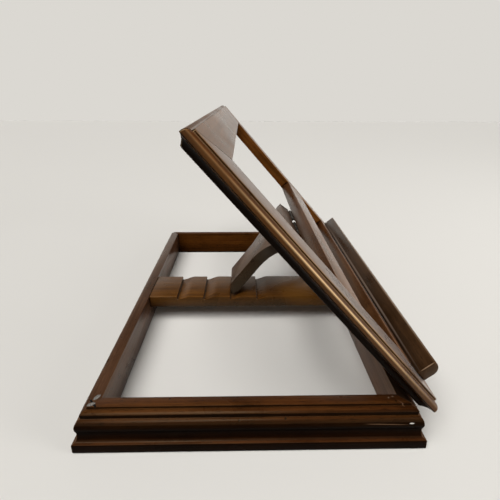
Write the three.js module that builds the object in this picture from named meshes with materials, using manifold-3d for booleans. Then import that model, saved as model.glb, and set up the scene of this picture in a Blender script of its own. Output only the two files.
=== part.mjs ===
// An adjustable wooden book stand: a moulded base frame, a sloping open desk hinged along the base's
// front rail, and a prop hinged under the desk's middle rail whose foot works along a notched bar.
// Millimetres, +Z up, the reader at -Y, hinge lines along X.
import * as THREE from "three";
import { mergeVertices } from "three/addons/utils/BufferGeometryUtils.js";
import Module from "manifold-3d";

// Clearances
const GAP = 0.3; // between fitted pieces
const PIN_PLAY = 0.3; // radial, pin to knuckle

// Base frame
const BASE_WIDTH = 485; // along the hinges, over the plinth
const BASE_DEPTH = 350; // front to rear, over the plinth
const BASE_HEIGHT = 44.4;
const BASE_RAIL = 25; // plinth face to inner face
const PLINTH_HEIGHT = 9.2; // of its upright face
const FOOT_ROUND = 2.6;
const PLINTH_LIP = 11.2; // where the plinth's rounded edge meets the cove
const PLINTH_LIP_INSET = 0.9;
const NECK_INSET = 4.7; // deepest point between cove and ovolo
const NECK_HEIGHT = 19.8;
const OVOLO_INSET = 3.4; // ovolo's foremost point
const OVOLO_HEIGHT = 27.2;
const OVOLO_TOP = 35.2;
const OVOLO_TOP_INSET = 8.5;
const BAND_FOOT = 39.4; // rounded band above the ovolo's fillet
const BAND_INSET = 8.2;
const BAND_SHOULDER = 9.9; // how far in its curve turns down
const BAND_TOP = 42;
const BAND_TOP_INSET = 13.6;
const TOP_INSET = 14; // plinth face to the flat top's edge

// Ratchet bar
const RACK_WIDTH = 62;
const RACK_THICKNESS = 17.6;
const RACK_DROP = 0.9; // bar's top below the base's top
const RACK_TENON = 9;
const RACK_TENON_THICKNESS = 8;
const RACK_TENON_SHOULDER = 6;
const NOTCH_COUNT = 4;
const NOTCH_PITCH = 40.3;
const NOTCH_REACH = 283; // front plinth face to the rearmost notch's wall
const NOTCH_DEPTH = 5.4;
const NOTCH_RAMP = 20;
const NOTCH_STEPS = 8;

// Desk
const DESK_TILT = 49.1; // degrees
const DESK_WIDTH = 470; // flat top, without the moulded edge
const DESK_LENGTH = 341; // flat top, up the slope
const DESK_THICKNESS = 18;
const DESK_TOE = 2.3; // flat top's lower edge beyond the hinge axis
const STILE = 39; // flat widths
const TOP_RAIL = 40.6;
const MID_RAIL = 41;
const BOTTOM_RAIL = 36.6;
const MID_RAIL_UP = 103.4; // hinge axis to the middle rail's lower edge
const MID_TENON = 12;
const MID_TENON_THICKNESS = 7;
const MID_TENON_SHOULDER = 6;
const EDGE_QUIRK = 2.4; // step below the flat top
const EDGE_NOSE = 5.7; // bullnose beyond the flat top
const EDGE_TIP_DROP = 8.6; // flat top to the bullnose's foremost point
const EDGE_LIP_DROP = 9.8; // flat top to the bullnose's lower lip
const EDGE_LIP_IN = 1.2; // lip behind the foremost point
const EDGE_COVE_DROP = 12.1; // the cove's pull below the flat top
const EDGE_COVE_IN = 5.3; // the cove's pull behind the foremost point
const EDGE_FOOT_IN = 2.4; // underside's edge behind the flat top's

// Book ledge
const LEDGE_LENGTH = 425;
const LEDGE_DEPTH = 13;
const LEDGE_HEIGHT = 21.5;
const LEDGE_ROUND = 2; // its arris towards the book
const LEDGE_END_ROUND = 1.5;
const LEDGE_NOSE = 9.5; // rounding away from the book
const LEDGE_OFF = -7.5; // its middle beside the desk's
const LEDGE_UP = 7.5; // hinge axis to the ledge's front face
const LEDGE_SCREW_SPAN = 200; // between the two hinges
const LEDGE_SCREW_COUNT = 3;
const LEDGE_SCREW_LENGTH = 30;
const LEDGE_SCREW_RADIUS = 2;

// Hinges between base and desk
const HINGE_INSET = 9.7; // plinth face to the pin's axis
const HINGE_RISE = 0.5; // base top to the pin's axis, and the axis to the desk's underside
const HINGE_FROM_END = 92.5; // base's end to the middle of a hinge
const HINGE_LENGTH = 50;
const HINGE_LEAF = 13; // pin's axis to the leaf's edge
const HINGE_PLATE = 1.6;
const HINGE_KNUCKLE = 2.6; // outer radius
const HINGE_PIN = 1.05; // radius
const HINGE_KNUCKLES = 5;
const HINGE_SCREW_COUNT = 3;
const HINGE_SCREW_PITCH = 17;
const HINGE_SCREW_REACH = 8.4; // pin's axis to the screws
const HINGE_SCREW_LENGTH = 11;
const HINGE_SCREW_RADIUS = 1.3;

// Hinges between middle rail and prop
const PROP_PIN_UP = 0.8; // pin's axis beyond the middle rail's upper edge
const PROP_PIN_PLAY_BELOW = 0.2; // knuckles below the wood, besides the gap
const PROP_HINGE_SPREAD = 54;
const PROP_HINGE_LENGTH = 40;
const PROP_HINGE_LEAF = 12;
const PROP_HINGE_PLATE = 1.2;
const PROP_HINGE_KNUCKLE = 1.8;
const PROP_HINGE_PIN = 0.7;
const PROP_HINGE_KNUCKLES = 5;
const PROP_SCREW_COUNT = 3;
const PROP_SCREW_PITCH = 13;
const PROP_SCREW_REACH = 7.6;
const PROP_SCREW_LENGTH = 8;
const PROP_SCREW_RADIUS = 0.9;

// Prop
const PROP_SLOPE = 52.4; // degrees below the horizontal
const PROP_THICKNESS = 17;
const PROP_TOP_GAP = 1.4; // folded: prop's end to the middle rail
const PROP_TOP_WIDTH = 106;
const PROP_HEAD = 33.4; // length of the wide head
const PROP_FOOT_WIDTH = 50.4;
const PROP_FLARE = 77.4; // from the top to where the shoulders have run out
const PROP_KNEE = 51.4; // from the top, where the shoulders turn
const PROP_KNEE_WIDTH = 60;
const PROP_FOOT_CLEAR = 1; // foot above the bar's crests, where the linkage is open
const PROP_HEEL_CLEAR = 1.3; // heel to its notch wall
const PROP_NOTCH = 3; // notch that the foot stands at, from the rear
const PROP_TOE = 5; // foot's flat sole
const PROP_TOE_BEVEL = 8; // length of the bevel from sole to front face

// Corrugated fastener in the rear left mitre
const FASTENER_LENGTH = 12;
const FASTENER_THICKNESS = 1.4;
const FASTENER_HEIGHT = 8;
const FASTENER_INSET = 18.5; // plinth faces to its middle

// Worked out from the sizes above
const RACK_TOP = BASE_HEIGHT - RACK_DROP;
const RACK_BOTTOM = RACK_TOP - RACK_THICKNESS;
const INNER_DEPTH = BASE_DEPTH - 2 * BASE_RAIL;
const HINGE_Y = HINGE_INSET - BASE_DEPTH / 2;
const HINGE_Z = BASE_HEIGHT + HINGE_RISE;
const TILT = THREE.MathUtils.degToRad(DESK_TILT);
const SLOPE = THREE.MathUtils.degToRad(PROP_SLOPE);
const DESK_UNDER = HINGE_RISE; // the desk's own frame starts at the hinge axis
const DESK_TOP = DESK_UNDER + DESK_THICKNESS;
const DESK_LOW = -DESK_TOE;
const DESK_HIGH = DESK_LOW + DESK_LENGTH;
const DESK_INNER = DESK_WIDTH / 2 - STILE;
const MID_RAIL_TOP = MID_RAIL_UP + MID_RAIL;
const PROP_SEAT = PROP_HINGE_KNUCKLE + GAP + PROP_PIN_PLAY_BELOW; // pin's axis to the wood above it
const PROP_PIN_AT = new THREE.Vector2(MID_RAIL_TOP + PROP_PIN_UP, DESK_UNDER - PROP_SEAT);

const wasm = await Module();
wasm.setup();

// A closed three.js geometry as a solid that can be joined and cut.
function solidOf(geometry) {
  const bare = geometry.clone();
  bare.deleteAttribute("normal");
  bare.deleteAttribute("uv");
  const merged = mergeVertices(bare, 1e-4);
  return new wasm.Manifold(new wasm.Mesh({
    numProp: 3,
    vertProperties: Float32Array.from(merged.attributes.position.array),
    triVerts: Uint32Array.from(merged.index.array),
  }));
}

function geometryOf(solid) {
  const mesh = solid.getMesh();
  const geometry = new THREE.BufferGeometry();
  geometry.setAttribute("position", new THREE.BufferAttribute(mesh.vertProperties, 3));
  geometry.setIndex(new THREE.BufferAttribute(mesh.triVerts, 1));
  geometry.computeVertexNormals();
  return geometry;
}

function join(pieces) {
  return geometryOf(pieces.map(solidOf).reduce((whole, piece) => whole.add(piece)));
}

function cut(geometry, cutters) {
  return geometryOf(cutters.map(solidOf).reduce((rest, tool) => rest.subtract(tool), solidOf(geometry)));
}

function overlap(first, second) {
  return geometryOf(solidOf(first).intersect(solidOf(second)));
}

// A box between two corners.
function box(x0, x1, y0, y1, z0, z1) {
  const geometry = new THREE.BoxGeometry(x1 - x0, y1 - y0, z1 - z0);
  return geometry.translate((x0 + x1) / 2, (y0 + y1) / 2, (z0 + z1) / 2);
}

// A rod along X between two ends.
function rod(radius, x0, x1, y = 0, z = 0) {
  const geometry = new THREE.CylinderGeometry(radius, radius, x1 - x0, 12);
  return geometry.rotateZ(Math.PI / 2).translate((x0 + x1) / 2, y, z);
}

// Turns a profile extruded along Z into one drawn in the YZ plane and run along X from x0.
function alongX(geometry, x0) {
  return geometry.applyMatrix4(new THREE.Matrix4().set(0, 0, 1, x0, 1, 0, 0, 0, 0, 1, 0, 0, 0, 0, 0, 1));
}

// A profile drawn in the YZ plane, run along X between two ends.
function run(shape, x0, x1) {
  const settings = { depth: x1 - x0, bevelEnabled: false, curveSegments: 6 };
  return alongX(new THREE.ExtrudeGeometry(shape, settings), x0);
}

// A moulded rail along X with its outermost face at y = 0. Each mitred end moves in by its slope
// times the distance behind that face.
function mitredRail(shape, outerLength, startSlope, endSlope) {
  const geometry = run(shape, 0, 1);
  const places = geometry.attributes.position;
  const half = outerLength / 2 - GAP / Math.SQRT2;
  for (let i = 0; i < places.count; i += 1) {
    const behind = -places.getY(i);
    places.setX(i, places.getX(i) < 0.5 ? behind * startSlope - half : half - behind * endSlope);
  }
  return geometry;
}

// A countersunk screw pointing up, the flat of its head at z = 0; "grow" turns it into its own hole.
function screw(length, radius, grow = 0) {
  const head = 2 * radius + grow;
  const shank = radius + grow;
  const profile = [
    new THREE.Vector2(0, -grow),
    new THREE.Vector2(head, -grow),
    new THREE.Vector2(head, radius / 4),
    new THREE.Vector2(shank, (5 * radius) / 4),
    new THREE.Vector2(shank, length - 2 * radius + grow),
    new THREE.Vector2(0, length + grow),
  ];
  return new THREE.LatheGeometry(profile, 10).rotateX(Math.PI / 2);
}

// A row of places along X, evenly spread about the middle.
function spread(count, pitch, middle = 0) {
  return Array.from({ length: count }, (_, i) => middle + (i - (count - 1) / 2) * pitch);
}

function wood(colour) {
  return new THREE.MeshStandardMaterial({ color: colour, roughness: 0.42, metalness: 0 });
}

function iron(colour) {
  return new THREE.MeshStandardMaterial({ color: colour, roughness: 0.55, metalness: 0.9 });
}

function named(name, geometry, material) {
  const mesh = new THREE.Mesh(geometry, material);
  mesh.name = name;
  return mesh;
}

// Base moulding: distance out from the plinth face against height.
function baseProfile() {
  const shape = new THREE.Shape();
  shape.moveTo(-BASE_RAIL, 0);
  shape.lineTo(-FOOT_ROUND, 0);
  shape.quadraticCurveTo(0, 0, 0, FOOT_ROUND);
  shape.lineTo(0, PLINTH_HEIGHT);
  shape.quadraticCurveTo(0, PLINTH_LIP, -PLINTH_LIP_INSET, PLINTH_LIP);
  shape.quadraticCurveTo(-NECK_INSET, PLINTH_LIP, -NECK_INSET, NECK_HEIGHT);
  const turn = (NECK_HEIGHT + OVOLO_HEIGHT) / 2;
  shape.bezierCurveTo(-NECK_INSET, turn, -OVOLO_INSET, turn, -OVOLO_INSET, OVOLO_HEIGHT);
  shape.bezierCurveTo(
    -OVOLO_INSET, (OVOLO_HEIGHT + OVOLO_TOP) / 2,
    -(OVOLO_INSET + OVOLO_TOP_INSET) / 2, OVOLO_TOP,
    -OVOLO_TOP_INSET, OVOLO_TOP,
  );
  shape.lineTo(-BAND_INSET, BAND_FOOT);
  shape.quadraticCurveTo(-BAND_SHOULDER, BAND_TOP, -BAND_TOP_INSET, BAND_TOP);
  shape.lineTo(-TOP_INSET, BASE_HEIGHT);
  shape.lineTo(-BASE_RAIL, BASE_HEIGHT);
  return shape;
}

// Desk moulding: distance in from the bullnose against height above the underside.
function deskProfile(flatWidth) {
  const flat = -EDGE_NOSE;
  const quirk = DESK_THICKNESS - EDGE_QUIRK;
  const tip = DESK_THICKNESS - EDGE_TIP_DROP;
  const lip = DESK_THICKNESS - EDGE_LIP_DROP;
  const shape = new THREE.Shape();
  shape.moveTo(flat - flatWidth, 0);
  shape.lineTo(flat - EDGE_FOOT_IN, 0);
  shape.quadraticCurveTo(-EDGE_COVE_IN, DESK_THICKNESS - EDGE_COVE_DROP, -EDGE_LIP_IN, lip);
  shape.quadraticCurveTo(0, lip, 0, tip);
  shape.quadraticCurveTo(0, quirk, flat, quirk);
  shape.lineTo(flat, DESK_THICKNESS);
  shape.lineTo(flat - flatWidth, DESK_THICKNESS);
  return shape;
}

// Notch walls from the rear; each ramp eases up from its floor to the next crest.
function notchWall(index) {
  return NOTCH_REACH - BASE_DEPTH / 2 - index * NOTCH_PITCH;
}

function rackProfile() {
  const end = INNER_DEPTH / 2 - GAP;
  const shape = new THREE.Shape();
  shape.moveTo(-end, RACK_BOTTOM);
  shape.lineTo(end, RACK_BOTTOM);
  shape.lineTo(end, RACK_TOP);
  for (let i = 0; i < NOTCH_COUNT; i += 1) {
    shape.lineTo(notchWall(i), RACK_TOP);
    for (let step = 0; step <= NOTCH_STEPS; step += 1) {
      const along = step / NOTCH_STEPS;
      const depth = NOTCH_DEPTH * (1 + Math.cos(Math.PI * along)) / 2;
      shape.lineTo(notchWall(i) - NOTCH_RAMP * along, RACK_TOP - depth);
    }
  }
  shape.lineTo(-end, RACK_TOP);
  return shape;
}

// A tenon on the ratchet bar's end, or the mortise for it where "grow" is a clearance.
function rackTenon(side, grow = 0) {
  const half = RACK_WIDTH / 2 - RACK_TENON_SHOULDER + grow;
  const middle = (RACK_TOP + RACK_BOTTOM) / 2;
  const rise = RACK_TENON_THICKNESS / 2 + grow;
  const root = INNER_DEPTH / 2 - 2 * GAP;
  const tip = INNER_DEPTH / 2 + RACK_TENON + grow;
  const near = side > 0 ? root : -tip;
  return box(-half, half, near, near + tip - root, middle - rise, middle + rise);
}

// The middle rail's tenon, or the mortise for it in a stile.
function midTenon(side, grow = 0) {
  const root = DESK_INNER - 2 * GAP;
  const tip = DESK_INNER + MID_TENON + grow;
  const near = side > 0 ? root : -tip;
  const low = MID_RAIL_UP + MID_TENON_SHOULDER - grow;
  const high = MID_RAIL_TOP - MID_TENON_SHOULDER + grow;
  const middle = (DESK_UNDER + DESK_TOP) / 2;
  const rise = MID_TENON_THICKNESS / 2 + grow;
  return box(near, near + tip - root, low, high, middle - rise, middle + rise);
}

// The corrugated fastener across the rear left mitre, or its slot.
function fastener(grow = 0) {
  const half = FASTENER_LENGTH / 2 + grow;
  const thick = FASTENER_THICKNESS / 2 + grow;
  const top = BASE_HEIGHT + (grow > 0 ? 1 : 0);
  const strip = box(-half, half, -thick, thick, BASE_HEIGHT - FASTENER_HEIGHT - grow, top);
  strip.rotateZ(Math.PI / 4);
  return strip.translate(FASTENER_INSET - BASE_WIDTH / 2, BASE_DEPTH / 2 - FASTENER_INSET, 0);
}

// Sizes of the two kinds of hinge. "near" is the distance from the pin's axis to the plate.
const DESK_HINGE = {
  length: HINGE_LENGTH, leaf: HINGE_LEAF, plate: HINGE_PLATE, near: HINGE_RISE,
  knuckle: HINGE_KNUCKLE, pin: HINGE_PIN, knuckles: HINGE_KNUCKLES,
  screws: spread(HINGE_SCREW_COUNT, HINGE_SCREW_PITCH), reach: HINGE_SCREW_REACH,
  screwLength: HINGE_SCREW_LENGTH, screwRadius: HINGE_SCREW_RADIUS,
};
const PROP_HINGE = {
  length: PROP_HINGE_LENGTH, leaf: PROP_HINGE_LEAF, plate: PROP_HINGE_PLATE,
  near: PROP_SEAT - GAP - PROP_HINGE_PLATE,
  knuckle: PROP_HINGE_KNUCKLE, pin: PROP_HINGE_PIN, knuckles: PROP_HINGE_KNUCKLES,
  screws: spread(PROP_SCREW_COUNT, PROP_SCREW_PITCH), reach: PROP_SCREW_REACH,
  screwLength: PROP_SCREW_LENGTH, screwRadius: PROP_SCREW_RADIUS,
};

// A hinge's screws or their holes: the pin lies on the X axis, the wood above it towards +Y.
function hingeScrews(hinge, grow = 0) {
  return hinge.screws.map((x) => (
    screw(hinge.screwLength, hinge.screwRadius, grow).translate(x, hinge.reach, hinge.near)
  ));
}

// The screws themselves, each a mesh of its own; "turn" places them in their group's frame.
function addScrews(group, prefix, hinge, turn) {
  hinge.screws.forEach((x, i) => {
    const mesh = named(`${prefix}_${i + 1}`, screw(hinge.screwLength, hinge.screwRadius), iron(0x4a4034));
    mesh.position.set(x, hinge.reach, hinge.near);
    mesh.applyMatrix4(turn);
    group.add(mesh);
  });
}

// One leaf under the wood, its plate towards +Y; "first" is its first knuckle along the hinge.
function hingeLeaf(hinge, first) {
  const half = hinge.length / 2;
  const step = hinge.length / hinge.knuckles;
  const clear = hinge.knuckle + GAP;
  const pieces = [box(-half, half, clear, hinge.leaf, hinge.near, hinge.near + hinge.plate)];
  for (let i = first; i < hinge.knuckles; i += 2) {
    const x0 = i * step - half + GAP / 2;
    const x1 = x0 + step - GAP;
    pieces.push(rod(hinge.knuckle, x0, x1));
    pieces.push(box(x0, x1, 0, clear + hinge.plate, hinge.near, hinge.near + hinge.plate));
  }
  const bore = rod(hinge.pin + PIN_PLAY, -hinge.length, hinge.length);
  return cut(join(pieces), [bore, ...hingeScrews(hinge, GAP)]);
}

function hingePin(hinge) {
  return rod(hinge.pin, -hinge.length / 2, hinge.length / 2);
}

// Room in the wood for a leaf let in flush and for the knuckles along its edge.
function hingeRecess(hinge) {
  const half = hinge.length / 2 + GAP;
  const rise = hinge.near + hinge.plate + GAP;
  return [
    box(-half, half, 0, hinge.leaf + GAP, -rise, rise),
    rod(hinge.knuckle + GAP, -half, half),
  ];
}

// Turned over about the pin: the wood below it, the plate still towards +Y.
function underside(geometry) {
  return geometry.rotateY(Math.PI);
}

const hingePlaces = spread(2, BASE_WIDTH - 2 * HINGE_FROM_END);
const propHingePlaces = spread(2, PROP_HINGE_SPREAD);
const ledgePlaces = spread(LEDGE_SCREW_COUNT, LEDGE_SCREW_SPAN / (LEDGE_SCREW_COUNT - 1), LEDGE_OFF);
const SIDES = ["left", "right"];

function buildBase() {
  const base = new THREE.Group();
  const profile = baseProfile();
  const long = mitredRail(profile, BASE_WIDTH, 1, 1);
  const short = mitredRail(profile, BASE_DEPTH, 1, 1);
  const hingeCuts = hingePlaces.flatMap((x) => [
    ...hingeRecess(DESK_HINGE),
    ...hingeScrews(DESK_HINGE, GAP).map(underside),
  ].map((tool) => tool.translate(x, HINGE_Y, HINGE_Z)));
  const front = long.clone().rotateZ(Math.PI).translate(0, -BASE_DEPTH / 2, 0);
  const rear = long.clone().translate(0, BASE_DEPTH / 2, 0);
  const left = short.clone().rotateZ(Math.PI / 2).translate(-BASE_WIDTH / 2, 0, 0);
  const right = short.clone().rotateZ(-Math.PI / 2).translate(BASE_WIDTH / 2, 0, 0);
  base.add(named("base_front_rail", cut(front, [rackTenon(-1, GAP), ...hingeCuts]), wood(0x5f4130)));
  base.add(named("base_rear_rail", cut(rear, [rackTenon(1, GAP), fastener(GAP)]), wood(0x5a3d2d)));
  base.add(named("base_left_rail", cut(left, [fastener(GAP)]), wood(0x5c402f)));
  base.add(named("base_right_rail", right, wood(0x57392a)));
  base.add(named("mitre_fastener", fastener(), iron(0x77726c)));
  const bar = run(rackProfile(), -RACK_WIDTH / 2, RACK_WIDTH / 2);
  base.add(named("ratchet_bar", join([bar, rackTenon(1), rackTenon(-1)]), wood(0x6b4a35)));
  hingePlaces.forEach((x, i) => {
    const leaf = named(`${SIDES[i]}_hinge_base_leaf`, underside(hingeLeaf(DESK_HINGE, 0)), iron(0x5d4a2a));
    const pin = named(`${SIDES[i]}_hinge_pin`, hingePin(DESK_HINGE), iron(0x6d5a38));
    leaf.position.set(x, HINGE_Y, HINGE_Z);
    pin.position.set(x, HINGE_Y, HINGE_Z);
    base.add(leaf, pin);
    const turn = new THREE.Matrix4().makeRotationY(Math.PI).setPosition(x, HINGE_Y, HINGE_Z);
    addScrews(base, `${SIDES[i]}_hinge_base_screw`, DESK_HINGE, turn);
  });
  return base;
}

function buildLedge(holes) {
  const low = LEDGE_UP;
  const high = LEDGE_UP + LEDGE_DEPTH;
  const foot = DESK_TOP + GAP;
  const top = foot + LEDGE_HEIGHT;
  const shape = new THREE.Shape();
  shape.moveTo(low, foot);
  shape.lineTo(high, foot);
  shape.lineTo(high, top - LEDGE_ROUND);
  shape.absarc(high - LEDGE_ROUND, top - LEDGE_ROUND, LEDGE_ROUND, 0, Math.PI / 2, false);
  shape.absarc(low + LEDGE_NOSE, top - LEDGE_NOSE, LEDGE_NOSE, Math.PI / 2, Math.PI, false);
  const bar = new THREE.ExtrudeGeometry(shape, {
    depth: LEDGE_LENGTH - 2 * LEDGE_END_ROUND,
    bevelThickness: LEDGE_END_ROUND,
    bevelSize: LEDGE_END_ROUND,
    bevelOffset: -LEDGE_END_ROUND,
    bevelSegments: 3,
    curveSegments: 6,
  });
  return cut(alongX(bar, LEDGE_OFF + LEDGE_END_ROUND - LEDGE_LENGTH / 2), holes);
}

function buildDesk() {
  const desk = new THREE.Group();
  desk.position.set(0, HINGE_Y, HINGE_Z);
  desk.rotation.x = TILT;
  const outerWidth = DESK_WIDTH + 2 * EDGE_NOSE;
  const outerLength = DESK_LENGTH + 2 * EDGE_NOSE;
  const middle = (DESK_LOW + DESK_HIGH) / 2;
  const slope = (railWidth) => (STILE + EDGE_NOSE) / (railWidth + EDGE_NOSE);
  const rail = (width) => mitredRail(deskProfile(width), outerWidth, slope(width), slope(width));
  const topSlope = 1 / slope(TOP_RAIL);
  const bottomSlope = 1 / slope(BOTTOM_RAIL);
  const ledgeScrew = (grow) => ledgePlaces.map((x) => (
    screw(LEDGE_SCREW_LENGTH, LEDGE_SCREW_RADIUS, grow)
      .translate(x, LEDGE_UP + LEDGE_DEPTH / 2, DESK_UNDER + GAP)
  ));
  const left = mitredRail(deskProfile(STILE), outerLength, bottomSlope, topSlope)
    .rotateZ(Math.PI / 2).translate(-outerWidth / 2, middle, DESK_UNDER);
  const right = mitredRail(deskProfile(STILE), outerLength, topSlope, bottomSlope)
    .rotateZ(-Math.PI / 2).translate(outerWidth / 2, middle, DESK_UNDER);
  const top = rail(TOP_RAIL).translate(0, DESK_HIGH + EDGE_NOSE, DESK_UNDER);
  const bottom = rail(BOTTOM_RAIL).rotateZ(Math.PI).translate(0, DESK_LOW - EDGE_NOSE, DESK_UNDER);
  const hingeCuts = hingePlaces.flatMap((x) => [
    ...hingeRecess(DESK_HINGE),
    ...hingeScrews(DESK_HINGE, GAP),
  ].map((tool) => tool.translate(x, 0, 0)));
  const mid = box(GAP - DESK_INNER, DESK_INNER - GAP, MID_RAIL_UP, MID_RAIL_TOP, DESK_UNDER, DESK_TOP);
  const railHinge = (geometry, x) => geometry.rotateZ(Math.PI).translate(x, PROP_PIN_AT.x, PROP_PIN_AT.y);
  const railHoles = propHingePlaces.flatMap((x) => hingeScrews(PROP_HINGE, GAP).map((s) => railHinge(s, x)));
  desk.add(named("desk_left_stile", cut(left, [midTenon(-1, GAP)]), wood(0x6e4524)));
  desk.add(named("desk_right_stile", cut(right, [midTenon(1, GAP)]), wood(0x683f20)));
  desk.add(named("desk_top_rail", top, wood(0x6b4426)));
  desk.add(named("desk_bottom_rail", cut(bottom, [...ledgeScrew(GAP), ...hingeCuts]), wood(0x694225)));
  desk.add(named("desk_mid_rail", cut(join([mid, midTenon(1), midTenon(-1)]), railHoles), wood(0x6c4730)));
  desk.add(named("book_ledge", buildLedge(ledgeScrew(GAP)), wood(0x6a4326)));
  ledgeScrew(0).forEach((geometry, i) => desk.add(named(`ledge_screw_${i + 1}`, geometry, iron(0x4a4034))));
  hingePlaces.forEach((x, i) => {
    const leaf = named(`${SIDES[i]}_hinge_desk_leaf`, hingeLeaf(DESK_HINGE, 1), iron(0x5d4a2a));
    leaf.position.x = x;
    desk.add(leaf);
    const turn = new THREE.Matrix4().makeTranslation(x, 0, 0);
    addScrews(desk, `${SIDES[i]}_hinge_desk_screw`, DESK_HINGE, turn);
  });
  propHingePlaces.forEach((x, i) => {
    const leaf = named(`${SIDES[i]}_prop_hinge_rail_leaf`, hingeLeaf(PROP_HINGE, 0), iron(0x2e2822));
    const pin = named(`${SIDES[i]}_prop_hinge_pin`, hingePin(PROP_HINGE), iron(0x3a332b));
    leaf.position.set(x, PROP_PIN_AT.x, PROP_PIN_AT.y);
    leaf.rotation.z = Math.PI;
    pin.position.copy(leaf.position);
    desk.add(leaf, pin);
    const turn = new THREE.Matrix4().makeRotationZ(Math.PI).setPosition(leaf.position);
    addScrews(desk, `${SIDES[i]}_prop_hinge_rail_screw`, PROP_HINGE, turn);
  });
  return desk;
}

// A point of the standing stand's YZ plane, seen from the prop's own frame at its pin.
function fromProp(y, z) {
  const pin = PROP_PIN_AT.clone().rotateAround(new THREE.Vector2(), TILT);
  pin.add(new THREE.Vector2(HINGE_Y, HINGE_Z));
  return new THREE.Vector2(y, z).sub(pin).rotateAround(new THREE.Vector2(), SLOPE);
}

// Seen from the side: heel upright and sole level when the prop stands at its notch.
function propSide() {
  const soleZ = RACK_TOP + PROP_FOOT_CLEAR;
  const heelY = notchWall(PROP_NOTCH - 1) - PROP_HEEL_CLEAR;
  const heel = fromProp(heelY, soleZ);
  const toe = fromProp(heelY - PROP_TOE, soleZ);
  const back = PROP_SEAT + PROP_THICKNESS;
  const heelTop = heel.x - (back - heel.y) * Math.tan(SLOPE);
  const end = PROP_TOP_GAP - PROP_PIN_UP;
  return new THREE.Shape([
    new THREE.Vector2(end, PROP_SEAT),
    new THREE.Vector2(toe.x - PROP_TOE_BEVEL, PROP_SEAT),
    toe,
    heel,
    new THREE.Vector2(heelTop, back),
    new THREE.Vector2(end, back),
  ]);
}

// Seen square on: widest at the hinges, easing in to the foot.
function propFace(side) {
  const points = side.getPoints();
  const end = Math.min(...points.map((point) => point.x));
  const tip = Math.max(...points.map((point) => point.x)) + 1;
  const [wide, narrow, knee] = [PROP_TOP_WIDTH / 2, PROP_FOOT_WIDTH / 2, PROP_KNEE_WIDTH / 2];
  const shape = new THREE.Shape();
  shape.moveTo(-wide, end);
  shape.lineTo(wide, end);
  shape.lineTo(wide, end + PROP_HEAD);
  shape.quadraticCurveTo(knee, end + PROP_KNEE, narrow, end + PROP_FLARE);
  shape.lineTo(narrow, tip);
  shape.lineTo(-narrow, tip);
  shape.lineTo(-narrow, end + PROP_FLARE);
  shape.quadraticCurveTo(-knee, end + PROP_KNEE, -wide, end + PROP_HEAD);
  return shape;
}

function buildProp() {
  const prop = new THREE.Group();
  prop.position.set(0, PROP_PIN_AT.x, PROP_PIN_AT.y);
  prop.rotation.x = -(TILT + SLOPE);
  const side = propSide();
  const depth = 2 * (PROP_SEAT + PROP_THICKNESS);
  const face = new THREE.ExtrudeGeometry(propFace(side), { depth, bevelEnabled: false, curveSegments: 10 });
  const board = overlap(run(side, -PROP_TOP_WIDTH, PROP_TOP_WIDTH), face);
  const holes = propHingePlaces.flatMap((x) => (
    hingeScrews(PROP_HINGE, GAP).map((hole) => hole.translate(x, 0, 0))
  ));
  prop.add(named("prop_board", cut(board, holes), wood(0x7d6351)));
  propHingePlaces.forEach((x, i) => {
    const leaf = named(`${SIDES[i]}_prop_hinge_prop_leaf`, hingeLeaf(PROP_HINGE, 1), iron(0x2e2822));
    leaf.position.x = x;
    prop.add(leaf);
    const turn = new THREE.Matrix4().makeTranslation(x, 0, 0);
    addScrews(prop, `${SIDES[i]}_prop_hinge_prop_screw`, PROP_HINGE, turn);
  });
  return prop;
}

const stand = new THREE.Group();
const desk = buildDesk();
desk.add(buildProp());
stand.add(buildBase(), desk);
stand.updateMatrixWorld(true);

// The origin lies on the floor under the middle of the whole stand.
const middle = new THREE.Box3().setFromObject(stand, true).getCenter(new THREE.Vector3());
stand.position.set(-middle.x, -middle.y, 0);

export default stand;
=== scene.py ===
"""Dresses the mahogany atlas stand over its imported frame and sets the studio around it."""

import logging
import math
from dataclasses import dataclass, replace
from enum import Enum
from typing import Any, Callable, Optional, Union

import bpy
from mathutils import Euler, Matrix, Vector


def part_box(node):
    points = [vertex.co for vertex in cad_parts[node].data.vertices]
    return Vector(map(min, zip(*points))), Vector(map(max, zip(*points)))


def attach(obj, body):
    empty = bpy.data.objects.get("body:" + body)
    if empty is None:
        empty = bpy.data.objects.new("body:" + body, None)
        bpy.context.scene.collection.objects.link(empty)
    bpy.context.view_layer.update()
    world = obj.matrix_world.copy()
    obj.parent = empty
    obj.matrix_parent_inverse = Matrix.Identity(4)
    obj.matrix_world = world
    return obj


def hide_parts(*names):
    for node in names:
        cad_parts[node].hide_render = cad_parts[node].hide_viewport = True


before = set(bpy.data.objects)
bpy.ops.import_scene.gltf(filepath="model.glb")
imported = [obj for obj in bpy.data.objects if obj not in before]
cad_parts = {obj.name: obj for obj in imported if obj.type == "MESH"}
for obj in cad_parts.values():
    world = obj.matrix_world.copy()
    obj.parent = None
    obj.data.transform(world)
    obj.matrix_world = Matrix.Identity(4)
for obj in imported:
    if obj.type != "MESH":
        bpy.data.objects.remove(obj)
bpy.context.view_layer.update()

BASE_MIDDLE = (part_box("base_front_rail")[0].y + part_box("base_rear_rail")[1].y) / 2
LOG = logging.getLogger("atlas_stand")
MM = 0.001
DESK_TILT = math.radians(49.1)
PROP_SLOPE = math.radians(52.4)
SCREWS = (1, 2, 3)  # in each hinge leaf, and in the ledge
MERGE = 0.002  # millimetres between corners that are one
FLAT = math.radians(0.4)  # faces closer than this lie in one plane

Colour = tuple[float, float, float, float]
Triple = tuple[float, float, float]
DESK_FACE: Triple = (0.0, -math.sin(DESK_TILT), math.cos(DESK_TILT))


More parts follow.
